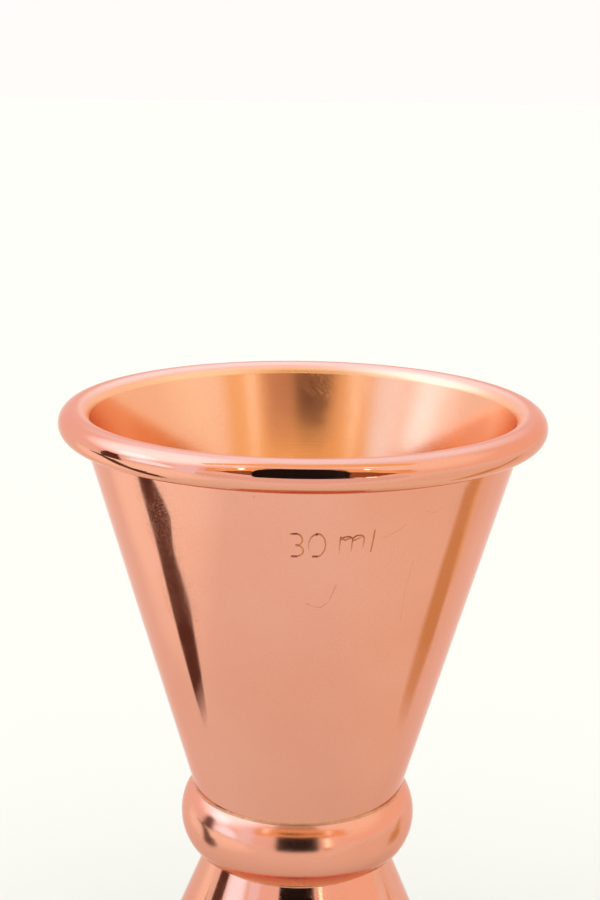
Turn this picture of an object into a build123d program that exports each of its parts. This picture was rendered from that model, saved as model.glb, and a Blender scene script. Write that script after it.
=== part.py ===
from build123d import *

import os
from math import acos, atan, cos, degrees, pi, sin, sqrt, tan
from typing import NamedTuple

# A bar jigger: two spun sheet-metal cups, brazed back to back, with a barrel-shaped
# collar soldered round the waist. Millimetres, +Z up, origin at the centre of the ring
# on which the lower rim rests. Every piece is turned about Z from its half section,
# where X is the distance from the axis and Y is the height.

# Sheet and rolled rims, the same on both cups
SHEET = 1.0             # wall thickness
BEAD_RADIUS = 1.5       # outside radius of the rolled rim
CURL_GAP = 0.1          # between the edge of the rolled sheet and the cup's wall
LAND_WIDTH = 0.6        # flat ring lapped on the underside of the lower rim

# Joints
BRAZE_THICKNESS = 0.3   # between the two cup bottoms
BRAZE_RADIUS = 6.0
SOLDER_GAP = 0.15       # between each lip of the collar and its cup

# Waist collar: a formed band whose outside is part of an ellipse
COLLAR_SHEET = 0.8
COLLAR_BULGE_RADIUS = 11.78     # largest outside radius
COLLAR_BULGE_DEPTH = 3.0        # semi-axis across the wall
COLLAR_BULGE_HALF_HEIGHT = 3.95  # semi-axis along Z
COLLAR_ABOVE_BRAZE = 0.7        # height of its middle above the middle of the braze

# Reach of the construction areas, larger than any section
FAR = 80.0


class Cup(NamedTuple):
    """Half section of a cup that stands mouth up, with its outer bottom at height 0."""

    base_radius: float      # where the outside of the wall, prolonged, meets the bottom
    flare: float            # radius that the wall gains per unit of height
    bead_height: float      # height of the centre of the rolled rim
    corner_radius: float    # outside radius between bottom and wall

    @property
    def lean(self):
        """Angle of the wall from the vertical, in radians."""
        return atan(self.flare)

    def outside_radius(self, height):
        return self.base_radius + self.flare * height

    @property
    def bead_centre(self):
        inner_curl_radius = BEAD_RADIUS - SHEET
        radius = self.outside_radius(self.bead_height) + inner_curl_radius / cos(self.lean)
        return radius, self.bead_height


UPPER = Cup(base_radius=9.45, flare=0.29, bead_height=41.15, corner_radius=2.5)   # 30 ml
LOWER = Cup(base_radius=7.78, flare=0.41, bead_height=27.03, corner_radius=2.0)   # 15 ml

# Heights in the finished jigger
LAND_DROP = sqrt(BEAD_RADIUS**2 - (LAND_WIDTH / 2) ** 2)
LOWER_BOTTOM = LAND_DROP + LOWER.bead_height
UPPER_BOTTOM = LOWER_BOTTOM + BRAZE_THICKNESS
COLLAR_MIDDLE = LOWER_BOTTOM + BRAZE_THICKNESS / 2 + COLLAR_ABOVE_BRAZE


def turned(section):
    """The solid that a half section sweeps in a full turn about Z."""
    return revolve(Plane.XZ * section, Axis.Z, 360)


def cup_section(cup):
    """One sheet from the middle of the bottom to the free edge rolled under the rim."""
    lean = degrees(cup.lean)
    along_normal = Vector(cos(cup.lean), -sin(cup.lean))
    bead = Vector(*cup.bead_centre)
    inner_curl_radius = BEAD_RADIUS - SHEET
    wall_top_outside = bead - along_normal * inner_curl_radius
    wall_top_inside = bead - along_normal * BEAD_RADIUS

    corner_reach = cup.corner_radius / tan((pi / 2 + cup.lean) / 2)
    corner = Vector(cup.base_radius - corner_reach, cup.corner_radius)
    outer_corner = CenterArc(corner, cup.corner_radius, -90, 90 - lean)
    inner_corner = CenterArc(corner, cup.corner_radius - SHEET, -90, 90 - lean)

    # The curl starts where the wall touches the bead and ends just short of the wall.
    curl_start = 180 - lean
    clear_of_wall = acos((inner_curl_radius + CURL_GAP) / BEAD_RADIUS)
    curl_turn = 360 - degrees(clear_of_wall)
    inner_curl = CenterArc(bead, inner_curl_radius, curl_start, -curl_turn)
    outer_curl = CenterArc(bead, BEAD_RADIUS, curl_start, -curl_turn)

    outline = [
        Line((0, 0), outer_corner @ 0),
        outer_corner,
        Line(outer_corner @ 1, wall_top_outside),
        inner_curl,
        Line(inner_curl @ 1, outer_curl @ 1),
        outer_curl,
        Line(wall_top_inside, inner_corner @ 1),
        inner_corner,
        Line(inner_corner @ 0, (0, SHEET)),
        Line((0, SHEET), (0, 0)),
    ]
    return make_face(outline)


def lapped_flat(solid):
    """The solid without what reaches below the resting plane."""
    return split(solid, bisect_by=Plane.XY, keep=Keep.TOP)


def cone_area(cup, bottom, direction, clearance):
    """All points nearer the axis than the cup's outer wall, moved out by the clearance."""
    move_out = clearance / cos(cup.lean)
    past_bottom = -cup.base_radius / cup.flare / 2
    low_radius = cup.outside_radius(past_bottom) + move_out
    high_radius = cup.outside_radius(FAR) + move_out
    low_height = bottom + direction * past_bottom
    high_height = bottom + direction * FAR
    corners = [(0, low_height), (low_radius, low_height), (high_radius, high_height), (0, high_height)]
    return make_face(Polyline(*corners, close=True))


def collar_band():
    """The formed band before its lips are cut to the cups."""
    centre = Pos(COLLAR_BULGE_RADIUS - COLLAR_BULGE_DEPTH, COLLAR_MIDDLE)
    outside = Ellipse(COLLAR_BULGE_DEPTH, COLLAR_BULGE_HALF_HEIGHT)
    inside = Ellipse(COLLAR_BULGE_DEPTH - COLLAR_SHEET, COLLAR_BULGE_HALF_HEIGHT - COLLAR_SHEET)
    return centre * (outside - inside)


os.makedirs("parts", exist_ok=True)

upper_cup = Pos(0, 0, UPPER_BOTTOM) * turned(cup_section(UPPER))
lower_cup = lapped_flat(Pos(0, 0, LOWER_BOTTOM) * Rot(180, 0, 0) * turned(cup_section(LOWER)))
braze_disc = Pos(0, 0, LOWER_BOTTOM) * extrude(Circle(BRAZE_RADIUS), BRAZE_THICKNESS)

upper_wall = cone_area(UPPER, UPPER_BOTTOM, 1, 0)
upper_seat = cone_area(UPPER, UPPER_BOTTOM, 1, SOLDER_GAP)
lower_wall = cone_area(LOWER, LOWER_BOTTOM, -1, 0)
lower_seat = cone_area(LOWER, LOWER_BOTTOM, -1, SOLDER_GAP)

band = collar_band()
waist_collar = turned(band - upper_seat - lower_seat)
above_middle = Pos(FAR / 2, COLLAR_MIDDLE + FAR / 2) * Rectangle(FAR, FAR)
below_middle = Pos(FAR / 2, COLLAR_MIDDLE - FAR / 2) * Rectangle(FAR, FAR)
collar_upper_solder_ring = turned((band & upper_seat & above_middle) - upper_wall)
collar_lower_solder_ring = turned((band & lower_seat & below_middle) - lower_wall)

NODES = {
    "upper_cup": upper_cup,
    "lower_cup": lower_cup,
    "braze_disc": braze_disc,
    "waist_collar": waist_collar,
    "collar_upper_solder_ring": collar_upper_solder_ring,
    "collar_lower_solder_ring": collar_lower_solder_ring,
}
for name, solid in NODES.items():
    export_step(solid, f"parts/{name}.step")
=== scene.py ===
from math import acos, asin, atan, atan2, cos, hypot, pi, radians, sin, sqrt, tan
from typing import NamedTuple

import bpy
import numpy as np
from mathutils import Matrix, Vector


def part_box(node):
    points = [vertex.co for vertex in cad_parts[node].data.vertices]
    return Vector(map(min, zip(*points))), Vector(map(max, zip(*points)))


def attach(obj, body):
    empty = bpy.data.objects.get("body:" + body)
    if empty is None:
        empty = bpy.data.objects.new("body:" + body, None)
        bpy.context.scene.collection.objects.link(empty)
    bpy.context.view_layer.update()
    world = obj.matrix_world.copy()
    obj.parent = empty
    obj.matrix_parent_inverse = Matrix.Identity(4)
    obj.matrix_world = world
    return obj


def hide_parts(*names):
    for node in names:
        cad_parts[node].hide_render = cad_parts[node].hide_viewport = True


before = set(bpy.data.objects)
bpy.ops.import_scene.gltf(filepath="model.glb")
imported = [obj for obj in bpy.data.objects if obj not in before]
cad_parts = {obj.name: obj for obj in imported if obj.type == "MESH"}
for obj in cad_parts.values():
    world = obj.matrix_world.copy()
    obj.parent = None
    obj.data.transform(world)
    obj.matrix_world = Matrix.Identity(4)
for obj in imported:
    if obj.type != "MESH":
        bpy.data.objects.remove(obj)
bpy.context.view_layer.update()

# A bar jigger: two copper-plated cups of spun sheet, joined back to back at a rounded
# collar. Metres, +Z up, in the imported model's own frame. The cups, the collar and the two
# solder seams are turned again here from their half sections, finely enough to mirror a
# room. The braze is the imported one, with a finish of its own.

MM = 0.001

# Sheet and rolled rims, the same on both cups
SHEET = 1.0 * MM
BEAD_RADIUS = 1.5 * MM
CURL_GAP = 0.1 * MM
LAND_HALF_WIDTH = 0.3 * MM
INNER_CURL_RADIUS = BEAD_RADIUS - SHEET

# Waist collar: a formed band whose outside is part of an ellipse
COLLAR_SHEET = 0.8 * MM
COLLAR_BULGE_DEPTH = 3.0 * MM
COLLAR_BULGE_HALF_HEIGHT = 3.95 * MM
COLLAR_ABOVE_BRAZE = 0.7 * MM
SOLDER_GAP = 0.15 * MM

# How finely the turned pieces are divided
ARC_STEP = radians(6)
TURN_STEP = radians(1)
MARK_STEP = 0.055 * MM

# Engraved measure marks, as strokes of a plain hand graver
BOW_POINTS = 25             # along each curved stroke
STROKE_HALF_WIDTH = 0.10 * MM
STROKE_DEPTH = 0.05 * MM
CAP_HEIGHT = 2.35 * MM
SLOPE_STEP = 0.002 * MM     # for the slope of a groove's wall

# Angles round a rim's bead, from outwards over its crown: where the upper rim's inner flank
# starts, where the polish gives way to a satin with a painted pale sheen, and where the tone
# turns to that of the inside, partly a painted reflection. The lower rim's flank starts past
# the flat ring on which it rests.
FLANK_START = radians(92)
SHEEN_AND_SATIN_ANGLES = radians(94), radians(118)
TONED = radians(120), radians(158)

# Solder seams round the collar: how far they climb the cup, and the radius of their hollow
SEAM_CLIMB = 0.30 * MM
SEAM_HOLLOW = 0.60 * MM

# Finishes of a cup, in the order of its material slots
OUTSIDE, INSIDE, FLANK = 0, 1, 2


# ---------------------------------------------------------------- half sections


class Stretch(NamedTuple):
    """Part of a half section, as (radius, height) points with the outward normal at each."""

    points: np.ndarray
    normals: np.ndarray
    finish: int
    marked: bool = False


def straight(start, end, finish=OUTSIDE, shares=(0.0, 1.0), marked=False):
    """A straight stretch, divided at the given shares of its length."""
    start = np.array(start, float)
    along = np.array(end, float) - start
    points = start + np.array(shares)[:, None] * along
    outward = np.array([along[1], -along[0]]) / np.linalg.norm(along)
    return Stretch(points, np.tile(outward, (len(points), 1)), finish, marked)


def arc(centre, radii, start, turn, finish=OUTSIDE):
    """An arc of a circle or ellipse. A clockwise one, with a negative turn, is hollow."""
    count = max(2, round(abs(turn) / ARC_STEP)) + 1
    at = start + np.linspace(0, turn, count)
    ring = np.stack([np.cos(at), np.sin(at)], axis=1)
    normals = ring / np.array(radii)
    normals *= np.sign(turn) / np.linalg.norm(normals, axis=1)[:, None]
    return Stretch(np.array(centre) + ring * np.array(radii), normals, finish)


def circle_arc(centre, radius, start, turn, finish=OUTSIDE):
    return arc(centre, (radius, radius), start, turn, finish)


def hollow(start, end, radius):
    """A hollow arc from one point to another, with the metal behind it."""
    start, end = np.array(start, float), np.array(end, float)
    chord = end - start
    half = np.linalg.norm(chord) / 2
    outward = np.array([chord[1], -chord[0]]) / (2 * half)
    centre = (start + end) / 2 + outward * sqrt(radius**2 - half**2)
    towards_start = start - centre
    return circle_arc(centre, radius, atan2(towards_start[1], towards_start[0]), -2 * asin(half / radius))


def mirrored(stretches, height):
    """The half section turned upside down about a height, still running the same way round."""
    flip = np.array([1.0, -1.0])
    lift = np.array([0.0, height])
    return [
        s._replace(points=(lift + s.points * flip)[::-1], normals=(s.normals * flip)[::-1])
        for s in reversed(stretches)
    ]


def raised(stretches, height):
    lift = np.array([0.0, height])
    return [s._replace(points=s.points + lift) for s in stretches]


class Cup:
    """A cup's half section, mouth up with its outer bottom at height 0, sized by its CAD box."""

    def __init__(self, node, flare, corner_radius, mark, mouth_up=True):
        low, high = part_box(node)
        self.node = node
        self.mark = mark
        self.mouth_up = mouth_up
        self.flare = flare
        self.lean = atan(flare)
        self.corner_radius = corner_radius
        self.bottom = low.z if mouth_up else high.z
        self.bead_above_end = BEAD_RADIUS if mouth_up else sqrt(BEAD_RADIUS**2 - LAND_HALF_WIDTH**2)
        bead_height = high.z - low.z - self.bead_above_end
        self.bead = np.array([high.x - BEAD_RADIUS, bead_height])
        tangent_radius = self.bead[0] - INNER_CURL_RADIUS / cos(self.lean)
        self.base_radius = tangent_radius - flare * bead_height

    def wall_radius(self, z):
        """Outside radius of the wall at a height in the model's frame."""
        height = z - self.bottom if self.mouth_up else self.bottom - z
        return self.base_radius + self.flare * height

    def wall_shares(self, start, end):
        """Where the outside wall is divided: finely over the mark, and hardly elsewhere."""
        low, high = self.mark.heights()
        rows = np.arange(low, high, MARK_STEP * cos(self.lean))
        shares = (rows - start[1]) / (end[1] - start[1])
        return np.concatenate([[0.0], shares, [1.0]])

    def stretches(self):
        """The outline from the outer bottom, round the rolled rim, to the inner bottom."""
        to_wall = np.array([-cos(self.lean), sin(self.lean)])
        wall_top_outside = self.bead + to_wall * INNER_CURL_RADIUS
        reach = self.corner_radius / tan((pi / 2 + self.lean) / 2)
        corner = (self.base_radius - reach, self.corner_radius)
        curl_start = pi - self.lean
        curl_turn = 2 * pi - acos((INNER_CURL_RADIUS + CURL_GAP) / BEAD_RADIUS)
        curl_end = curl_start - curl_turn

        outer_corner = circle_arc(corner, self.corner_radius, -pi / 2, pi / 2 - self.lean)
        inner_curl = circle_arc(self.bead, INNER_CURL_RADIUS, curl_start, -curl_turn)
        outer_curl = self.outer_curl(curl_end, curl_start)
        inner_radius = self.corner_radius - SHEET
        inner_corner = circle_arc(corner, inner_radius, -self.lean, self.lean - pi / 2, INSIDE)
        wall_start = outer_corner.points[-1]
        shares = self.wall_shares(wall_start, wall_top_outside)
        return [
            straight((0, 0), outer_corner.points[0]),
            outer_corner,
            straight(wall_start, wall_top_outside, shares=shares, marked=True),
            inner_curl,
            straight(inner_curl.points[-1], outer_curl[0].points[0]),
            *outer_curl,
            straight(outer_curl[-1].points[-1], inner_corner.points[0], INSIDE),
            inner_corner,
            straight(inner_corner.points[-1], (0, SHEET), INSIDE),
        ]

    def outer_curl(self, start, end):
        """The round outside of the rim, with a flat on which the lower cup rests."""
        half_land = asin(LAND_HALF_WIDTH / BEAD_RADIUS)
        flank_start = FLANK_START if self.mouth_up else pi / 2 + half_land
        flank = circle_arc(self.bead, BEAD_RADIUS, flank_start, end - flank_start, FLANK)
        if self.mouth_up:
            return [circle_arc(self.bead, BEAD_RADIUS, start, flank_start - start), flank]
        before = circle_arc(self.bead, BEAD_RADIUS, start, pi / 2 - half_land - start)
        return [before, straight(before.points[-1], flank.points[0]), flank]

    def section(self):
        if self.mouth_up:
            return raised(self.stretches(), self.bottom)
        return mirrored(self.stretches(), self.bottom)


# ---------------------------------------------------------------- measure marks


def stroke(*points, fade=(1.0, 1.0)):
    """A straight-sided stroke in units of the cap height, and how deep its two ends are."""
    return np.array(points, float), fade


def bow(centre, radii, start, turn, fade=(1.0, 1.0)):
    """A curved stroke, with angles in degrees."""
    at = np.radians(np.linspace(start, start + turn, BOW_POINTS))
    return np.array(centre) + np.array(radii) * np.stack([np.cos(at), np.sin(at)], axis=1), fade


# Each character: its strokes, and how far it advances the next one
X_HEIGHT = 0.83
CHARACTERS = {
    "0": (
        [
            bow((0.31, 0.49), (0.31, 0.49), 140, -220, (0.75, 0.65)),
            stroke((0.36, 0.0), (0.16, 0.0), fade=(1.0, 1.0)),
            bow((0.31, 0.49), (0.31, 0.49), 140, 100, (0.6, 0.1)),
            stroke((0.24, 0.96), (0.30, 0.95), fade=(1.3, 1.3)),
        ],
        0.84,
    ),
    "1": ([stroke((0.04, 0.76), (0.26, 1.0), (0.26, 0.0))], 0.60),
    "3": (
        [
            stroke((0.0, 0.97), (0.2, 0.98), fade=(0.7, 1.0)),
            bow((0.2, 0.73), (0.23, 0.25), 90, -180, (0.9, 0.55)),
            bow((0.2, 0.25), (0.27, 0.24), 90, -160, (0.75, 0.6)),
            stroke((0.03, 0.0), (0.24, 0.0)),
        ],
        0.66,
    ),
    "5": (
        [
            stroke((0.46, 1.0), (0.1, 1.0), (0.06, 0.56)),
            bow((0.2, 0.31), (0.3, 0.31), 118, -240, (1.0, 0.6)),
        ],
        0.84,
    ),
    "m": (
        [
            stroke((0.02, X_HEIGHT), (0.0, 0.0), fade=(0.85, 0.15)),
            bow((0.25, X_HEIGHT - 0.16), (0.24, 0.16), 170, -150, (0.9, 0.9)),
            stroke((0.05, X_HEIGHT - 0.08), (0.2, X_HEIGHT - 0.14), (0.4, X_HEIGHT - 0.04), fade=(0.7, 0.7)),
            stroke((0.48, X_HEIGHT - 0.16), (0.46, 0.1), fade=(0.9, 0.2)),
            bow((0.70, X_HEIGHT - 0.16), (0.22, 0.20), 160, -160, (0.95, 0.7)),
            stroke((0.50, X_HEIGHT - 0.18), (0.78, X_HEIGHT - 0.06), fade=(0.8, 0.5)),
            stroke((0.92, X_HEIGHT - 0.16), (0.90, 0.25), fade=(0.7, 0.2)),
        ],
        1.27,
    ),
    "l": ([stroke((-0.03, 0.12), (0.01, 0.7), (0.02, 1.05), fade=(0.7, 0.8))], 0.3),
    " ": ([], 0.30),
}


class Mark:
    """A measure mark on a cup, upright when that cup stands mouth up."""

    def __init__(self, text, start, baseline):
        self.start = start          # angle from -Y round to where the mark starts
        self.baseline = baseline    # height above the cup's outer bottom
        self.strokes = []
        advance = 0.0
        for letter in text:
            strokes, width = CHARACTERS[letter]
            for points, fade in strokes:
                self.strokes.append(((points + [advance, 0.0]) * CAP_HEIGHT, fade))
            advance += width
        self.width = advance * CAP_HEIGHT

    def heights(self):
        margin = 3 * STROKE_HALF_WIDTH
        return self.baseline - margin, self.baseline + 1.1 * CAP_HEIGHT + margin

    def depth(self, across, up):
        """How deep the graver cut at places across and up the wall, as arrays."""
        place = np.stack([across, up], axis=-1)
        depth = np.zeros(across.shape)
        for points, fade in self.strokes:
            steps = np.linspace(fade[0], fade[1], len(points))
            for first, last, deep_first, deep_last in zip(points, points[1:], steps, steps[1:]):
                along = last - first
                share = np.clip(((place - first) @ along) / (along @ along), 0, 1)
                distance = np.linalg.norm(place - first - share[..., None] * along, axis=-1)
                groove = np.clip(1 - (distance / STROKE_HALF_WIDTH) ** 2, 0, None) ** 1.5
                deep = deep_first + (deep_last - deep_first) * share
                depth = np.maximum(depth, groove * deep * STROKE_DEPTH)
        return depth


# ---------------------------------------------------------------- turned pieces


def turn_angles(mark=None, radius=None, mouth_up=True):
    """Angles from -Y round the axis, closer together over a mark."""
    even = np.arange(0, 2 * pi - TURN_STEP / 2, TURN_STEP)
    if mark is None:
        return even
    margin = 4 * STROKE_HALF_WIDTH
    first = mark.start - margin / radius
    last = mark.start + (mark.width + margin) / radius
    if not mouth_up:
        first, last = -last, -first
    fine = np.arange(first, last, MARK_STEP / radius)
    middle = (first + last) / 2
    away = np.abs((even - middle + pi) % (2 * pi) - pi)
    coarse = even[away > (last - first) / 2 + TURN_STEP / 2]
    return np.unique(np.concatenate([coarse, fine % (2 * pi)]))


def swept(values, angles):
    """(radius, height) pairs carried round the axis: one row of 3-D vectors for each pair."""
    radial, height = values[:, 0, None], values[:, 1, None]
    flat = np.zeros(angles.shape)
    return np.stack([radial * np.sin(angles), -radial * np.cos(angles), height + flat], axis=-1)


def engraved(points, normals, angles, cup, radius):
    """Cuts the cup's mark into a wall, and gives the moved points, normals and depths."""
    sense = 1 if cup.mouth_up else -1
    across = sense * ((angles + pi) % (2 * pi) - pi) - cup.mark.start
    across = np.tile(across * radius, (len(points), 1))
    up = (sense * (points[..., 2] - cup.bottom) - cup.mark.baseline) / cos(cup.lean)
    depth = cup.mark.depth(across, up)
    slope_across = (cup.mark.depth(across + SLOPE_STEP, up) - depth) / SLOPE_STEP
    slope_up = (cup.mark.depth(across, up + SLOPE_STEP) - depth) / SLOPE_STEP
    round_axis = np.stack([np.cos(angles), np.sin(angles), 0 * angles], axis=-1) + 0 * normals
    up_wall = np.cross(normals, round_axis)
    moved_normals = normals + sense * (slope_across[..., None] * round_axis)
    moved_normals = moved_normals + sense * (slope_up[..., None] * -up_wall)
    moved_normals /= np.linalg.norm(moved_normals, axis=-1)[..., None]
    return points - depth[..., None] * normals, moved_normals, depth / STROKE_DEPTH


def turned(name, stretches, angles, cup=None, mark_radius=None):
    """A closed mesh turned from a half section, with exact normals on every corner."""
    columns = len(angles)
    after = np.roll(np.arange(columns), -1)
    here = np.arange(columns)
    vertices, depths, faces, normals, finishes = [], [], [], [], []
    on_axis = stretches[0].points[0][0] == 0
    closed = not on_axis
    row_count = 0

    for index, stretch in enumerate(stretches):
        points = swept(stretch.points, angles)
        directions = swept(stretch.normals, angles)
        depth = np.zeros(points.shape[:2])
        if stretch.marked and cup is not None:
            points, directions, depth = engraved(points, directions, angles, cup, mark_radius)
        skip = 0 if index == 0 else 1
        vertices.append(points[skip:])
        depths.append(depth[skip:])
        first_row = row_count - skip
        row_count += len(points) - skip
        for i in range(len(points) - 1):
            low = (first_row + i) * columns
            high = low + columns
            corners = np.stack([low + here, low + after, high + after, high + here], axis=1)
            first, last = directions[i], directions[i + 1]
            around = [first[here], first[after], last[after], last[here]]
            faces.append(corners)
            normals.append(np.stack(around, axis=1))
            finishes.append(np.full(columns, stretch.finish))

    vertices = np.concatenate(vertices).reshape(-1, 3)
    depths = np.concatenate(depths).reshape(-1)
    faces = np.concatenate(faces)
    normals = np.concatenate(normals)
    finishes = np.concatenate(finishes)
    last_row = (row_count - 1) * columns
    if closed:
        faces = np.where(faces >= last_row, faces - last_row, faces)
        vertices = vertices[:last_row]
        depths = depths[:last_row]
    return mesh_piece(name, vertices, faces, normals, finishes, depths, on_axis, columns)


def mesh_piece(name, vertices, faces, normals, finishes, depths, on_axis, columns):
    """The Blender object, with the rows that lie on the axis drawn together to one point."""
    merged = np.arange(len(vertices))
    if on_axis:
        merged[:columns] = 0
        merged[-columns:] = len(vertices) - columns
    used = np.unique(merged)
    renumber = np.zeros(len(vertices), int)
    renumber[used] = np.arange(len(used))
    face_list, normal_list = [], []
    for corners, directions in zip(renumber[merged[faces]].tolist(), normals.tolist()):
        kept = [k for k in range(4) if corners[k] != corners[k - 1]]
        face_list.append([corners[k] for k in kept])
        normal_list.extend(directions[k] for k in kept)
    mesh = bpy.data.meshes.new(name)
    mesh.from_pydata(vertices[used].tolist(), [], face_list)
    mesh.polygons.foreach_set("material_index", finishes.astype(np.int32))
    mesh.shade_smooth()
    mesh.normals_split_custom_set(normal_list)
    engraving = mesh.attributes.new("engraving", "FLOAT", "POINT")
    engraving.data.foreach_set("value", depths[used].astype(np.float32))
    piece = bpy.data.objects.new(name, mesh)
    bpy.context.scene.collection.objects.link(piece)
    return piece


def ellipse_meets_cone(centre, radii, radius_at_zero, flare, outer_side):
    """Angle on an ellipse where it meets the line radius = radius_at_zero + flare * height."""
    along = radii[0]
    across = -flare * radii[1]
    wanted = radius_at_zero + flare * centre[1] - centre[0]
    middle = atan2(across, along)
    half = acos(wanted / hypot(along, across))
    return middle + half if outer_side else middle - half


def collar_section(upper, lower):
    """The band's outline: its rounded outside, its two lips and its hollow inside."""
    middle = lower.bottom + (upper.bottom - lower.bottom) / 2 + COLLAR_ABOVE_BRAZE
    centre = (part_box("waist_collar")[1].x - COLLAR_BULGE_DEPTH, middle)
    outside = (COLLAR_BULGE_DEPTH, COLLAR_BULGE_HALF_HEIGHT)
    inside = (COLLAR_BULGE_DEPTH - COLLAR_SHEET, COLLAR_BULGE_HALF_HEIGHT - COLLAR_SHEET)
    upper_seat = upper.wall_radius(0) + SOLDER_GAP / cos(upper.lean), upper.flare
    lower_seat = lower.wall_radius(0) + SOLDER_GAP / cos(lower.lean), -lower.flare
    upper_out, upper_in = (ellipse_meets_cone(centre, r, *upper_seat, True) for r in (outside, inside))
    lower_out, lower_in = (ellipse_meets_cone(centre, r, *lower_seat, False) for r in (outside, inside))
    outer = arc(centre, outside, lower_out, upper_out - lower_out)
    inner = arc(centre, inside, upper_in, lower_in - upper_in)
    return [
        outer,
        straight(outer.points[-1], inner.points[0]),
        inner,
        straight(inner.points[-1], outer.points[0]),
    ]


def solder_section(cup, outer_corner, inner_corner, upward):
    """The seam between a lip and a cup: a hollow face outside, and flat against both inside."""

    def on_wall(corner, climb):
        return cup.wall_radius(corner[1] + climb), corner[1] + climb

    outer_foot = on_wall(outer_corner, SEAM_CLIMB if upward else -SEAM_CLIMB)
    inner_foot = on_wall(inner_corner, 0)
    if upward:
        return [
            straight(inner_corner, outer_corner),
            hollow(outer_corner, outer_foot, SEAM_HOLLOW),
            straight(outer_foot, inner_foot),
            straight(inner_foot, inner_corner),
        ]
    return [
        straight(outer_corner, inner_corner),
        straight(inner_corner, inner_foot),
        straight(inner_foot, outer_foot),
        hollow(outer_foot, outer_corner, SEAM_HOLLOW),
    ]


# ---------------------------------------------------------------- materials


class Nodes:
    """Makes shader nodes and links them: an input is a value or another node's output."""

    def __init__(self, tree):
        self.tree = tree
        tree.nodes.clear()

    def add(self, kind, inputs=(), **settings):
        node = self.tree.nodes.new("ShaderNode" + kind)
        for name, value in settings.items():
            setattr(node, name, value)
        for name, value in dict(inputs).items():
            if isinstance(value, bpy.types.NodeSocket):
                self.tree.links.new(value, node.inputs[name])
            else:
                node.inputs[name].default_value = value
        return node

    def math(self, operation, first, second=0.0, third=0.0, clamp=False):
        values = {0: first, 1: second, 2: third}
        return self.add("Math", values, operation=operation, use_clamp=clamp).outputs[0]

    def vector(self, operation, first, second=(0, 0, 0)):
        return self.add("VectorMath", {0: first, 1: second}, operation=operation)

    def noise(self, place, scale, detail=2.0, roughness=0.5, distortion=0.0):
        inputs = {
            "Vector": place,
            "Scale": scale,
            "Detail": detail,
            "Roughness": roughness,
            "Distortion": distortion,
        }
        return self.add("TexNoise", inputs).outputs["Fac"]

    def ramp(self, value, low, high, to_low=0.0, to_high=1.0, smooth=True):
        """The value carried from one range to another, and held at its ends."""
        inputs = {"Value": value, "From Min": low, "From Max": high, "To Min": to_low, "To Max": to_high}
        kind = "SMOOTHSTEP" if smooth else "LINEAR"
        return self.add("MapRange", inputs, interpolation_type=kind).outputs["Result"]

    def mix(self, share, first, second):
        inputs = {"Factor": share, "A": first, "B": second}
        node = self.add("Mix", data_type="RGBA")
        for name, value in inputs.items():
            socket = [s for s in node.inputs if s.name == name and s.enabled][0]
            if isinstance(value, bpy.types.NodeSocket):
                self.tree.links.new(value, socket)
            else:
                socket.default_value = value
        return [s for s in node.outputs if s.enabled][0]


def colour(red, green, blue):
    return (red, green, blue, 1.0)


COPPER = colour(0.80, 0.365, 0.262)
COPPER_PALE = colour(0.83, 0.405, 0.30)
COPPER_WARM = colour(0.77, 0.33, 0.22)
# The inside's satin copper, made yellower: partly a painted reflection of light bounced round inside the cup
SATIN_TONE_AND_REFLECTION = colour(0.91, 0.54, 0.335)
# The rim's inner flank: satin copper with a painted pale pink sheen, for the pale light it mirrors
FLANK_TONE_AND_SHEEN = colour(0.88, 0.46, 0.36)
COPPER_COLLAR = colour(0.79, 0.345, 0.240)
COPPER_EDGE = colour(0.93, 0.72, 0.68)      # at a grazing angle
SATIN_EDGE = colour(0.97, 0.84, 0.74)
SEAM_SHADE = colour(0.81, 0.38, 0.24)        # painted shade and reflection, browner than the plate
# Painted reflection: a golden band round the collar's lower edge
SEAM_REFLECTION = colour(0.86, 0.58, 0.36)
TARNISH = colour(0.20, 0.055, 0.03)
TARNISH_WORN = colour(0.56, 0.18, 0.06)
BRASS = colour(0.80, 0.62, 0.33)
SOLDER = colour(0.70, 0.36, 0.22)

# How fine each pattern on the plate is, as a noise scale per metre
TONE_PATCHES = 55.0
SCRATCH_PATCHES = 130.0
SMUDGES = 140.0
WAVES = 300.0
SCRATCH_WEAR = 1100.0
RESIDUE_SPECKS = 1500.0
GRAIN = 5500.0

# What wear and grime do to the plate
SMUDGE_BLUR = 0.05          # added roughness
SCRATCH_BLUR = 0.10
RESIDUE_BLUR = 0.30
RESIDUE_COVER = 0.55        # how far dried polish in a groove hides the metal
SCRATCH_DEPTH = 0.0005 * MM
SCRATCH_STAIN = 0.55        # how far a drawn scratch takes the tone of worn tarnish
SCRATCH_HALF_WIDTH = 0.075 * MM

# Hairlines from handling
HAIRLINE_DIRECTIONS = 4
HAIRLINE_LENGTH = 6 * MM
HAIRLINE_WIDTH = 0.05 * MM
HAIRLINE_THRESHOLD = 0.72   # a higher one leaves fewer of them


def new_material(name):
    material = bpy.data.materials.new(name)
    material.use_nodes = True
    return material, Nodes(material.node_tree)


def scratch_field(nodes, place, turn, length_scale, width_scale, threshold):
    """Long straight hairlines that run one way, as a mask."""
    inputs = {"Vector": place, "Rotation": turn, "Scale": (length_scale, width_scale, width_scale)}
    laid = nodes.add("Mapping", inputs, vector_type="TEXTURE").outputs[0]
    lines = nodes.noise(laid, 1.0, detail=0.0)
    return nodes.ramp(lines, threshold, threshold + 0.03)


def hairlines(nodes, place):
    """Fine handling scratches in several directions, in patches."""
    total = 0.0
    for number in range(HAIRLINE_DIRECTIONS):
        turn = (radians(37 * number + 12), radians(61 * number + 20), radians(83 * number))
        lines = scratch_field(nodes, place, turn, HAIRLINE_LENGTH, HAIRLINE_WIDTH, HAIRLINE_THRESHOLD)
        total = nodes.math("MAXIMUM", lines, total)
    patches = nodes.ramp(nodes.noise(place, SCRATCH_PATCHES, detail=2.0), 0.45, 0.6)
    return nodes.math("MULTIPLY", total, patches)


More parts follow.
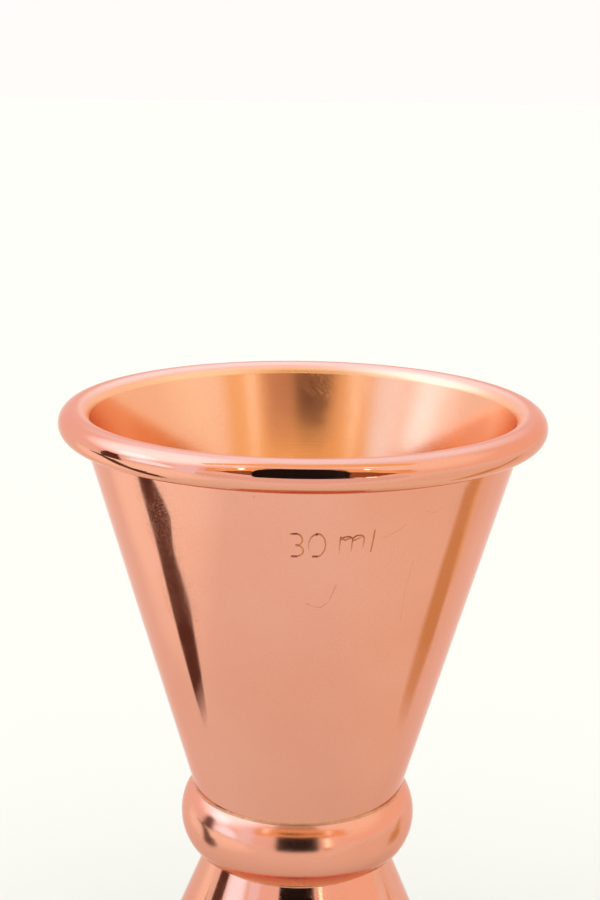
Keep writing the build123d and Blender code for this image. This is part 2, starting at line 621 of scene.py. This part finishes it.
def spin_lines(nodes, place, pitch):
    """Fine rings round the axis, as the spinning tool and the polishing mop leave them."""
    split = nodes.add("SeparateXYZ", {0: place})
    radius = nodes.vector("LENGTH", nodes.vector("MULTIPLY", place, (1, 1, 0)).outputs[0]).outputs["Value"]
    rings = nodes.add("CombineXYZ", {0: radius, 2: split.outputs[2]}).outputs[0]
    return nodes.noise(rings, 1 / pitch, detail=2.0)


def bumped(nodes, height, strength=1.0):
    """A bump normal from a height in metres."""
    inputs = {"Height": height, "Distance": 1.0, "Strength": strength}
    return nodes.add("Bump", inputs).outputs["Normal"]


class Finish(NamedTuple):
    """How a stretch of copper plate was worked. Lengths and heights are in metres."""

    tone: tuple
    roughness: float
    spin_depth: float
    spin_pitch: float
    wave_depth: float = 0.004 * MM
    edge_tone: tuple = COPPER_EDGE
    along_rings: float = 0.0    # how much further the surface blurs round the axis than along it
    seams: tuple = ()           # (height, reach) of the seams beside which shade and reflection are painted
    seam_tone: tuple = SEAM_SHADE
    scratches: tuple = ()       # (strength, chain of (x, height) points on the front, in mm)


def near_seams(nodes, place, seams):
    """1 at the height of a seam, and 0 away from it."""
    height = nodes.add("SeparateXYZ", {0: place}).outputs[2]
    total = 0.0
    for seam, reach in seams:
        away = nodes.math("ABSOLUTE", nodes.math("SUBTRACT", height, seam))
        total = nodes.math("MAXIMUM", nodes.ramp(away, 0.4 * reach, reach, 1.0, 0.0), total)
    return total


def round_the_bead(nodes, place, bead, sense):
    """The angle round a rim's bead, from outwards over its crown."""
    height = nodes.add("SeparateXYZ", {0: place}).outputs[2]
    radius = nodes.vector("LENGTH", nodes.vector("MULTIPLY", place, (1, 1, 0)).outputs[0]).outputs["Value"]
    up = nodes.math("MULTIPLY", nodes.math("SUBTRACT", height, bead[1]), sense)
    outwards = nodes.math("SUBTRACT", radius, bead[0])
    return nodes.math("ARCTAN2", up, outwards)


def drawn_scratches(nodes, place, chains, half_width):
    """Single scratches that were drawn across the front of the cup, as a mask."""
    front = nodes.vector("MULTIPLY", place, (1, 0, 1)).outputs[0]
    total = 0.0
    for strength, chain in chains:
        points = [Vector((x * MM, 0, z * MM)) for x, z in chain]
        for first, last in zip(points, points[1:]):
            along = last - first
            from_first = nodes.vector("SUBTRACT", front, first).outputs[0]
            reach = nodes.vector("DOT_PRODUCT", from_first, along).outputs["Value"]
            share = nodes.math("MULTIPLY", reach, 1 / along.length_squared, clamp=True)
            nearest = nodes.add("VectorMath", {0: along, "Scale": share}, operation="SCALE").outputs[0]
            distance = nodes.vector("DISTANCE", from_first, nearest).outputs["Value"]
            line = nodes.ramp(distance, half_width * 0.4, half_width, strength, 0.0)
            total = nodes.math("MAXIMUM", line, total)
    depth = nodes.add("SeparateXYZ", {0: place}).outputs[1]
    on_front = nodes.math("LESS_THAN", depth, 0.0)
    worn = nodes.ramp(nodes.noise(place, SCRATCH_WEAR), 0.3, 0.6, 0.35, 1.0)
    return nodes.math("MULTIPLY", nodes.math("MULTIPLY", total, on_front), worn)


def copper_plate(name, finish, inner=None, bead=None, sense=1):
    """Copper plate on spun steel: mirror bright with handling wear, or satin with spin lines.

    On the flank of a rim it turns from one finish into another round the bead. Its tone also
    carries painted light: a pale sheen on a rim's flank, a partly painted reflection inside, and
    shade and reflection beside the seams."""
    material, nodes = new_material(name)
    place = nodes.add("TexCoord").outputs["Object"]
    inner = inner or finish
    share = toned = 0.0
    if bead is not None:
        angle = round_the_bead(nodes, place, bead, sense)
        share = nodes.ramp(angle, *SHEEN_AND_SATIN_ANGLES)
        toned = nodes.ramp(angle, *TONED)

    def blend(first, second):
        return nodes.math("MULTIPLY_ADD", share, second - first, first)

    tone = nodes.noise(place, TONE_PATCHES, detail=3.0)
    base = nodes.mix(nodes.ramp(tone, 0.35, 0.65), COPPER_WARM, COPPER_PALE)
    base = nodes.mix(0.6, base, finish.tone)
    # Round the rim's flank: the painted pale sheen, then the inside's tone, partly a painted reflection
    base = nodes.mix(share, base, inner.tone)
    base = nodes.mix(toned, base, SATIN_TONE_AND_REFLECTION)
    # Painted shade and reflection in bands beside the seams
    base = nodes.mix(near_seams(nodes, place, finish.seams), base, finish.seam_tone)
    grain = nodes.ramp(nodes.noise(place, GRAIN, detail=1.0), 0.25, 0.75, 0.975, 1.025, smooth=False)
    base = nodes.vector("MULTIPLY", base, grain).outputs[0]
    cut = nodes.add("Attribute", attribute_name="engraving").outputs["Fac"]
    residue = nodes.ramp(cut, 0.08, 0.55)
    kept = nodes.math("MULTIPLY_ADD", nodes.noise(place, RESIDUE_SPECKS, detail=1.0), 0.5, cut)
    kept = nodes.ramp(kept, 0.85, 1.15)
    base = nodes.mix(residue, base, nodes.mix(kept, TARNISH_WORN, TARNISH))

    smudges = nodes.ramp(nodes.noise(place, SMUDGES, detail=4.0, roughness=0.6, distortion=0.6), 0.5, 0.72)
    scratches = hairlines(nodes, place)
    if finish.scratches:
        drawn = drawn_scratches(nodes, place, finish.scratches, SCRATCH_HALF_WIDTH)
        base = nodes.mix(nodes.math("MULTIPLY", drawn, SCRATCH_STAIN), base, TARNISH_WORN)
        scratches = nodes.math("MAXIMUM", scratches, drawn)
    rough = nodes.math("MULTIPLY_ADD", smudges, SMUDGE_BLUR, blend(finish.roughness, inner.roughness))
    rough = nodes.math("MULTIPLY_ADD", scratches, SCRATCH_BLUR, rough)
    rough = nodes.math("MULTIPLY_ADD", residue, RESIDUE_BLUR, rough)

    waves = nodes.math("MULTIPLY", nodes.noise(place, WAVES, detail=1.0), finish.wave_depth)
    spin_depth = blend(finish.spin_depth, inner.spin_depth)
    rings = nodes.math("MULTIPLY", spin_lines(nodes, place, finish.spin_pitch), spin_depth)
    height = nodes.math("ADD", waves, rings)
    height = nodes.math("MULTIPLY_ADD", scratches, -SCRATCH_DEPTH, height)

    inputs = {
        "Base Color": base,
        "Metallic": nodes.math("MULTIPLY_ADD", residue, -RESIDUE_COVER, 1.0),
        "Roughness": rough,
        "Specular Tint": nodes.mix(share, finish.edge_tone, inner.edge_tone),
        "Normal": bumped(nodes, height),
        "Anisotropic": blend(finish.along_rings, inner.along_rings),
        "Tangent": nodes.add("Tangent", direction_type="RADIAL", axis="Z").outputs[0],
    }
    surface = nodes.add("BsdfPrincipled", inputs)
    nodes.add("OutputMaterial", {"Surface": surface.outputs[0]})
    return material


def joint_metal(name, base_colour, roughness, grain):
    """A run of solder or braze: slightly rippled and duller than the plate."""
    material, nodes = new_material(name)
    place = nodes.add("TexCoord").outputs["Object"]
    ripple = nodes.noise(place, 1 / grain, detail=3.0)
    dark = tuple(0.85 * c for c in base_colour[:3]) + (1.0,)
    base = nodes.mix(nodes.ramp(ripple, 0.3, 0.7), dark, base_colour)
    inputs = {
        "Base Color": base,
        "Metallic": 1.0,
        "Roughness": nodes.ramp(ripple, 0.2, 0.8, roughness + 0.1, roughness),
        "Normal": bumped(nodes, nodes.math("MULTIPLY", ripple, 0.008 * grain)),
    }
    nodes.add("OutputMaterial", {"Surface": nodes.add("BsdfPrincipled", inputs).outputs[0]})
    return material


# ---------------------------------------------------------------- studio


def direction(azimuth, elevation):
    """A unit vector, with the azimuth in degrees from -Y towards +X."""
    azimuth, elevation = radians(azimuth), radians(elevation)
    level = cos(elevation)
    return Vector((sin(azimuth) * level, -cos(azimuth) * level, sin(elevation)))


TENT_CLOTH = Vector((1.08, 0.97, 0.95))
# Where the tent is brighter or warmer: azimuth, elevation, inner and outer angle, added light
TENT_LAMPS = [
    (-72, 2, 7, 17, Vector((0.2, 0.9, 1.5))),
    (-86, 24, 4, 14, Vector((0.1, 0.6, 1.0))),
    (-52, 20, 4, 12, Vector((0.1, 0.25, 0.45))),
    (-94, 46, 12, 40, Vector((0.7, 1.10, 1.60))),
    (175, 52, 10, 40, Vector((0.10, 0.55, 0.90))),
    (70, 46, 14, 40, Vector((0.10, 0.24, 0.22))),
    (95, 0, 25, 80, Vector((0.03, -0.05, -0.18))),
]


def light_tent():
    """A pale cloth all round, brighter where the lamps stand behind it."""
    world = bpy.data.worlds.new("light_tent")
    bpy.context.scene.world = world
    world.use_nodes = True
    nodes = Nodes(world.node_tree)
    towards = nodes.add("TexCoord").outputs["Generated"]
    light = TENT_CLOTH
    for azimuth, elevation, inner, outer, lamp in TENT_LAMPS:
        facing = nodes.vector("DOT_PRODUCT", towards, direction(azimuth, elevation)).outputs["Value"]
        glow = nodes.ramp(facing, cos(radians(outer)), cos(radians(inner)))
        added = nodes.vector("MULTIPLY", lamp, glow).outputs[0]
        light = nodes.vector("ADD", added, light).outputs[0]
    background = nodes.add("Background", {"Color": light})
    nodes.add("OutputWorld", {"Surface": background.outputs[0]})


def studio_card(name, corners, faces, tint, cover=None):
    """A card that only reflections show. It is clear where the cover of its corners is 0."""
    mesh = bpy.data.meshes.new(name)
    mesh.from_pydata(corners, [], faces)
    card = bpy.data.objects.new(name, mesh)
    bpy.context.scene.collection.objects.link(card)
    material, nodes = new_material(name)
    surface = nodes.add("Emission", {"Color": colour(*tint)}).outputs[0]
    if cover is not None:
        mesh.attributes.new("cover", "FLOAT", "POINT").data.foreach_set("value", cover)
        share = nodes.add("Attribute", attribute_name="cover").outputs["Fac"]
        clear = nodes.add("BsdfTransparent").outputs[0]
        surface = nodes.add("MixShader", {0: share, 1: clear, 2: surface}).outputs[0]
    nodes.add("OutputMaterial", {"Surface": surface})
    mesh.materials.append(material)
    card.visible_camera = False
    card.visible_diffuse = False
    card.visible_shadow = False


def strip(stations, softness):
    """A soft-edged strip: at each station its place along, its two edges across and its cover."""
    points, cover = [], []
    for along, low, high, share in stations:
        points += [(along, low - softness), (along, low), (along, high), (along, high + softness)]
        cover += [0.0, share, share, 0.0]
    faces = []
    for start in range(0, len(points) - 4, 4):
        faces += [(start + i, start + i + 1, start + i + 5, start + i + 4) for i in range(3)]
    return points, faces, cover


def standing_card(name, distance, outline, tint):
    """An upright card in front of the object, its corners given as x and height in mm."""
    corners = [(x * MM, -distance, z * MM) for x, z in outline]
    studio_card(name, corners, [range(len(corners))], tint)


def standing_strip(name, distance, stations, tint, softness):
    """An upright soft card in front, with stations of height, left, right and cover, in mm."""
    points, faces, cover = strip(stations, softness)
    studio_card(name, [(x * MM, -distance, z * MM) for z, x in points], faces, tint, cover)


def floor_strip(name, lift, stations, tint, softness):
    """A soft card on the floor, with stations of x, front edge, back edge and cover, in mm."""
    points, faces, cover = strip(stations, softness)
    studio_card(name, [(x * MM, y * MM, lift) for x, y in points], faces, tint, cover)


# Distances of upright cards in front of the axis
BACKDROP = 142 * MM
PROPS = 140 * MM
LAMPS = 138 * MM
RIM_MASK = 25.2 * MM
RIM_FLARE = 25.1 * MM
RIM_FLAG = 25.0 * MM
RIM_GLINT = 24.9 * MM

CEILING_STRIP = 150 * MM    # height of the card overhead
ENTRANCE = -300 * MM        # x of the card in the tent's left entrance

# Heights of the cards that lie on the floor
SEAM_LIFT = 0.3 * MM
EDGE_LIFT = 0.2 * MM
LIGHT_LIFT = 0.1 * MM

# Light that each kind of card gives off
BLACK = (0.012, 0.010, 0.010)
CLOTH = (0.96, 0.86, 0.84)
WARM_CLOTH = (0.98, 0.91, 0.76)
BRIGHT_CLOTH = (1.20, 1.24, 1.14)
OVERHEAD = (1.15, 0.88, 0.42)
DARK = (0.10, 0.055, 0.045)
DARK_BROWN = (0.12, 0.060, 0.045)
BROWN = (0.58, 0.34, 0.22)
RUST = (0.36, 0.15, 0.07)
SHELF = (0.63, 0.46, 0.30)
GOLD = (1.02, 0.66, 0.29)
AMBER = (0.74, 0.51, 0.24)
YELLOW = (0.93, 0.76, 0.36)
FLARE = (1.15, 0.80, 0.35)
PALE = (1.10, 1.22, 1.45)
LAMP = (2.6, 2.7, 2.3)
WARM_LAMP = (1.55, 1.60, 1.45)
COOL_LAMP = (1.35, 1.65, 2.0)
GLINT = (5.0, 5.0, 5.0)


def front_cards():
    """The gap through which the camera looks into the tent, and the warm room behind it."""
    room = [(100, -130, 158, 0), (108, -135, 162, 1), (176, -150, 162, 1), (184, -150, 162, 0)]
    standing_strip("room", BACKDROP, room, GOLD, 8)
    shelf = [(172, -62, 60, 0), (182, -62, 60, 1), (265, -66, 64, 1), (290, -66, 64, 0)]
    standing_strip("shelf", BACKDROP, shelf, SHELF, 10)
    glow = [(10, -195, -135, 0), (30, -195, -138, 1), (160, -205, -150, 1), (200, -205, -150, 0)]
    standing_strip("left_glow", BACKDROP, glow, PALE, 20)

    body = [(8, -42, 44, 0), (18, -43, 46, 0.8), (26, -45, 48, 1), (98, -46, 50, 1), (106, -46, 50, 0)]
    standing_strip("camera_body", PROPS, body, BLACK, 6)
    head = [(116, -26, 4, 0), (122, -36, 9, 0.95), (126, -41, 10, 1), (134, -48, 14, 1), (146, -46, 12, 0)]
    standing_strip("behind_camera", PROPS, head, DARK, 7)
    grip = [(116, 14, 50, 0), (122, 16, 58, 0.8), (128, 22, 64, 1), (138, 22, 66, 0.9), (148, 22, 64, 0)]
    standing_strip("hand", PROPS, grip, BROWN, 7)

    streak = [(108, 82, 92, 0), (120, 83, 95, 0.8), (134, 84, 97, 1), (158, 84, 102, 1), (168, 84, 102, 0)]
    standing_strip("right_lamp", LAMPS, streak, WARM_LAMP, 3)
    streak = [
        (110, -88, -80, 0), (120, -92, -81, 0.7), (134, -98, -82, 1),
        (180, -102, -82, 1), (190, -100, -82, 0),
    ]
    standing_strip("left_lamp", LAMPS, streak, WARM_LAMP, 3)
    halo = [(12, 68, 80, 0), (20, 65, 83, 1), (98, 65, 83, 1), (106, 68, 80, 0)]
    standing_strip("spot_halo", PROPS, halo, AMBER, 4)
    spot = [(26, 72, 76, 0), (34, 69, 79, 1), (84, 69, 79, 1), (94, 72, 76, 0)]
    standing_strip("spot", LAMPS, spot, LAMP, 3)
    standing_card("right_glint", LAMPS, [(120, 330), (150, 330), (156, 430), (126, 430)], COOL_LAMP)
    standing_card("left_glint", LAMPS, [(-103, 232), (-85, 232), (-87, 290), (-105, 290)], COOL_LAMP)


def rim_cards():
    """The lens as the rim mirrors it, the warm light beside it, and a strip overhead.

    What the rim mirrors doesn't fit the cards that stand farther off, so it has its own close
    in front, over a strip of plain cloth."""
    mask = [(-13, 68.5), (13, 68.5), (13, 70.0), (-13, 70.0)]
    standing_card("below_lens", RIM_MASK, mask, CLOTH)
    lens = [
        (-5.4, 71.2), (-4.6, 73.0), (-2.6, 74.2), (2.8, 74.2),
        (4.4, 73.2), (5.0, 72.0), (4.6, 70.1), (-4.8, 70.1),
    ]
    standing_card("lens", RIM_FLAG, lens, BLACK)
    left = [(-9.6, 71.6), (-5.2, 72.3), (-5.0, 70.5), (-7.5, 70.9)]
    standing_card("lens_left", RIM_FLAG, left, RUST)
    right = [(4.8, 72.4), (7.2, 72.3), (11, 71.3), (7.5, 70.3), (4.6, 70.3)]
    standing_card("lens_right", RIM_FLAG, right, RUST)
    flares = {
        "flare_left": [(-10.5, 72.2), (-7.0, 74.4), (-3.6, 75.4), (-4.6, 72.6), (-8.0, 71.9)],
        "flare_right": [(3.8, 75.4), (7.5, 74.8), (10.5, 73.0), (12.0, 71.6), (5.0, 72.6)],
    }
    for name, outline in flares.items():
        standing_card(name, RIM_FLARE, outline, FLARE)
    for name, x, z in (("glint_left", -6.5, 73.2), ("glint_right", 7.2, 74.2)):
        standing_card(name, RIM_GLINT, [(x - 0.5, z), (x, z - 0.6), (x + 0.5, z), (x, z + 0.6)], GLINT)
    overhead = [
        (-70, -66), (-30, -46), (66, -46), (64, -28), (28, -18),
        (12, -12), (-20, -24), (-36, -34), (-66, -52),
    ]
    corners = [(x * MM, y * MM, CEILING_STRIP) for x, y in overhead]
    studio_card("overhead_strip", corners, [range(len(corners))], OVERHEAD)


def side_cards():
    """The dark gap of the tent's left entrance."""
    outline = [(-22, 0), (55, 0), (48, 60), (34, 118), (-12, 114), (-20, 60)]
    corners = [(ENTRANCE, y * MM, z * MM) for y, z in outline]
    studio_card("entrance", corners, [range(len(corners))], DARK_BROWN)


def floor_cards():
    """The open seams of the tent on both sides, and the uneven light on its floor."""
    left_seam = [
        (-52, -3, 1, 0), (-60, -9, 4, 1), (-72, -15, 7, 1), (-86, -12, 8, 1),
        (-91, -18, 8, 1), (-97, -15, 9, 1), (-107, -7, 12, 1), (-160, -2, 24, 1),
        (-210, 6, 42, 1), (-320, 62, 116, 1), (-380, 95, 140, 0),
    ]
    floor_strip("left_seam", SEAM_LIFT, left_seam, DARK_BROWN, 1.0)
    right_seam = [
        (54, 9, 15, 0), (62, 7, 17, 0.8), (74, 8, 25, 1), (88, 11, 30, 1),
        (112, 18, 33, 1), (120, 31, 41, 1), (190, 70, 84, 0.8), (250, 102, 120, 0),
    ]
    floor_strip("right_seam", SEAM_LIFT, right_seam, AMBER, 6)
    right_edge = [
        (84, 30, 38, 0), (94, 30, 39, 0.8), (112, 32, 40, 1),
        (120, 40, 46, 1), (190, 80, 92, 0.8), (250, 112, 128, 0),
    ]
    floor_strip("right_seam_edge", EDGE_LIFT, right_edge, YELLOW, 4)
    warm = [
        (15, -70, -20, 0), (50, -70, 0, 0.6), (90, -80, 40, 1),
        (180, -120, 100, 0.8), (400, -200, 200, 0),
    ]
    floor_strip("warm_floor", LIGHT_LIFT, warm, WARM_CLOTH, 30)
    bright = [
        (-55, -70, -10, 0), (-75, -80, 20, 0.6), (-105, -90, 50, 1),
        (-250, -200, 150, 1), (-500, -300, 300, 0),
    ]
    floor_strip("bright_floor", LIGHT_LIFT, bright, BRIGHT_CLOTH, 30)


FLOOR_REACH = 3000 * MM
FLOOR_HEIGHT = -0.02 * MM   # just under the rim's flat ring
FLOOR_TONE = colour(0.82, 0.770, 0.655)


def pale_floor():
    """The plain pale cloth on which the object stands."""
    corners = [(-1, -1), (1, -1), (1, 1), (-1, 1)]
    mesh = bpy.data.meshes.new("floor")
    mesh.from_pydata([(x * FLOOR_REACH, y * FLOOR_REACH, FLOOR_HEIGHT) for x, y in corners], [], [range(4)])
    floor = bpy.data.objects.new("floor", mesh)
    bpy.context.scene.collection.objects.link(floor)
    material, nodes = new_material("pale_floor")
    cloth = nodes.add("BsdfPrincipled", {"Base Color": FLOOR_TONE, "Roughness": 0.9})
    nodes.add("OutputMaterial", {"Surface": cloth.outputs[0]})
    mesh.materials.append(material)


CAMERA_PLACE = Vector((0.0, -155.697 * MM, 105.019 * MM))
CAMERA_TURN = 0.00164       # radians
CAMERA_TILT_DOWN = 0.2405
CAMERA_ROLL = 0.01435
FOCAL_LENGTH = 66.276       # millimetres, as is the sensor along the picture's longer side
SENSOR_WIDTH = 36.0
NEAREST_SEEN = 5 * MM


def camera():
    """The view from just above the rim, a little turned and rolled as a hand holds it."""
    data = bpy.data.cameras.new("camera")
    data.lens = FOCAL_LENGTH
    data.sensor_width = SENSOR_WIDTH
    data.clip_start = NEAREST_SEEN
    rotation = (
        Matrix.Rotation(CAMERA_TURN, 4, "Z")
        @ Matrix.Rotation(pi / 2 - CAMERA_TILT_DOWN, 4, "X")
        @ Matrix.Rotation(CAMERA_ROLL, 4, "Z")
    )
    viewer = bpy.data.objects.new("camera", data)
    viewer.matrix_world = Matrix.Translation(CAMERA_PLACE) @ rotation
    bpy.context.scene.collection.objects.link(viewer)
    bpy.context.scene.camera = viewer


# ---------------------------------------------------------------- the jigger

upper_mark = Mark("30 ml", start=radians(-2.7), baseline=33.26 * MM)
lower_mark = Mark("15 ml", start=radians(-10), baseline=20.0 * MM)
upper = Cup("upper_cup", flare=0.29, corner_radius=2.5 * MM, mark=upper_mark)
lower = Cup("lower_cup", flare=0.41, corner_radius=2.0 * MM, mark=lower_mark, mouth_up=False)

# Seams beside which shade and reflection are painted, as (height, reach): browner under both
# rims and where the collar meets the cups, and golden round the collar's lower edge
collar_low, collar_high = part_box("waist_collar")
RIM_SEAMS = (
    (upper.bottom + upper.bead[1] - 0.7 * BEAD_RADIUS, 0.6 * MM),
    (lower.bottom - lower.bead[1] + 0.7 * BEAD_RADIUS, 0.6 * MM),
)
CUP_SEAMS = RIM_SEAMS + ((collar_high.z, 0.8 * MM),)
COLLAR_SEAMS = ((collar_low.z, 2.0 * MM),)

# Scratches on the front of the upper cup, as (strength, chain of x and height in mm)
HANDLING_SCRATCHES = (
    (1.0, ((0.5, 57.3), (1.1, 57.0), (1.8, 56.9), (2.4, 57.4), (2.8, 58.3), (3.1, 59.2))),
    (0.6, ((7.1, 63.6), (8.1, 64.0), (9.0, 64.6))),
    (0.35, ((10.8, 65.7), (11.6, 65.4), (12.6, 65.8))),
    (0.3, ((9.9, 60.8), (9.3, 57.6), (9.0, 54.6))),
    (0.5, ((-11.7, 59.1), (-11.3, 59.4), (-10.9, 59.3))),
    (0.5, ((-10.1, 55.4), (-9.8, 55.2))),
    (0.5, ((14.3, 62.2), (14.7, 62.0))),
    (1.0, ((-4.13, 67.68), (-4.09, 67.80), (-4.02, 67.62))),
)

polished = Finish(COPPER, 0.06, 0.0002 * MM, 0.12 * MM, seams=CUP_SEAMS)
# The inside's and the rim flank's tones carry painted light: a reflection inside, a pale sheen on the flank
satin = Finish(SATIN_TONE_AND_REFLECTION, 0.14, 0.001 * MM, 0.10 * MM, edge_tone=SATIN_EDGE, along_rings=0.8)
flank_satin_and_sheen = satin._replace(tone=FLANK_TONE_AND_SHEEN, roughness=0.27, along_rings=0.5)
inside = copper_plate("satin_copper_and_reflection", satin)
outsides = {
    upper: copper_plate("upper_cup_polished", polished._replace(scratches=HANDLING_SCRATCHES)),
    lower: copper_plate("lower_cup_polished", polished),
}
for cup, outside in outsides.items():
    sense = 1 if cup.mouth_up else -1
    bead = (cup.bead[0], cup.bottom + sense * cup.bead[1])
    flank = copper_plate(cup.node + "_rim_flank", polished, flank_satin_and_sheen, bead, sense)
    mark_radius = cup.wall_radius(cup.bottom + sense * (cup.mark.baseline + CAP_HEIGHT / 2))
    angles = turn_angles(cup.mark, mark_radius, cup.mouth_up)
    piece = turned(cup.node + "_sheet", cup.section(), angles, cup, mark_radius)
    for finish in (outside, inside, flank):
        piece.data.materials.append(finish)
    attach(piece, "root")
    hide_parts(cup.node)

formed = Finish(COPPER_COLLAR, 0.155, 0.0003 * MM, 0.15 * MM, wave_depth=0.006 * MM)
# A painted golden reflection round the collar's lower edge
formed = formed._replace(seams=COLLAR_SEAMS, seam_tone=SEAM_REFLECTION)
collar_finish = copper_plate("collar_copper", formed)
band = collar_section(upper, lower)
outer, _, inner, _ = band
collar = turned("waist_collar_band", band, turn_angles())
collar.data.materials.append(collar_finish)
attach(collar, "root")
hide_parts("waist_collar")

solder = joint_metal("solder_seam", SOLDER, 0.4, 0.6 * MM)
seams = {
    "collar_upper_solder": solder_section(upper, outer.points[-1], inner.points[0], True),
    "collar_lower_solder": solder_section(lower, outer.points[0], inner.points[-1], False),
}
for name, section in seams.items():
    seam = turned(name + "_seam", section, turn_angles())
    seam.data.materials.append(solder)
    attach(seam, "root")
    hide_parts(name + "_ring")

braze = joint_metal("braze_run", BRASS, 0.35, 0.8 * MM)
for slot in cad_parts["braze_disc"].material_slots:
    slot.material = braze

light_tent()
front_cards()
rim_cards()
side_cards()
floor_cards()
pale_floor()
camera()
bpy.context.scene.view_settings.view_transform = "Standard"
bpy.context.scene.cycles.caustics_reflective = False
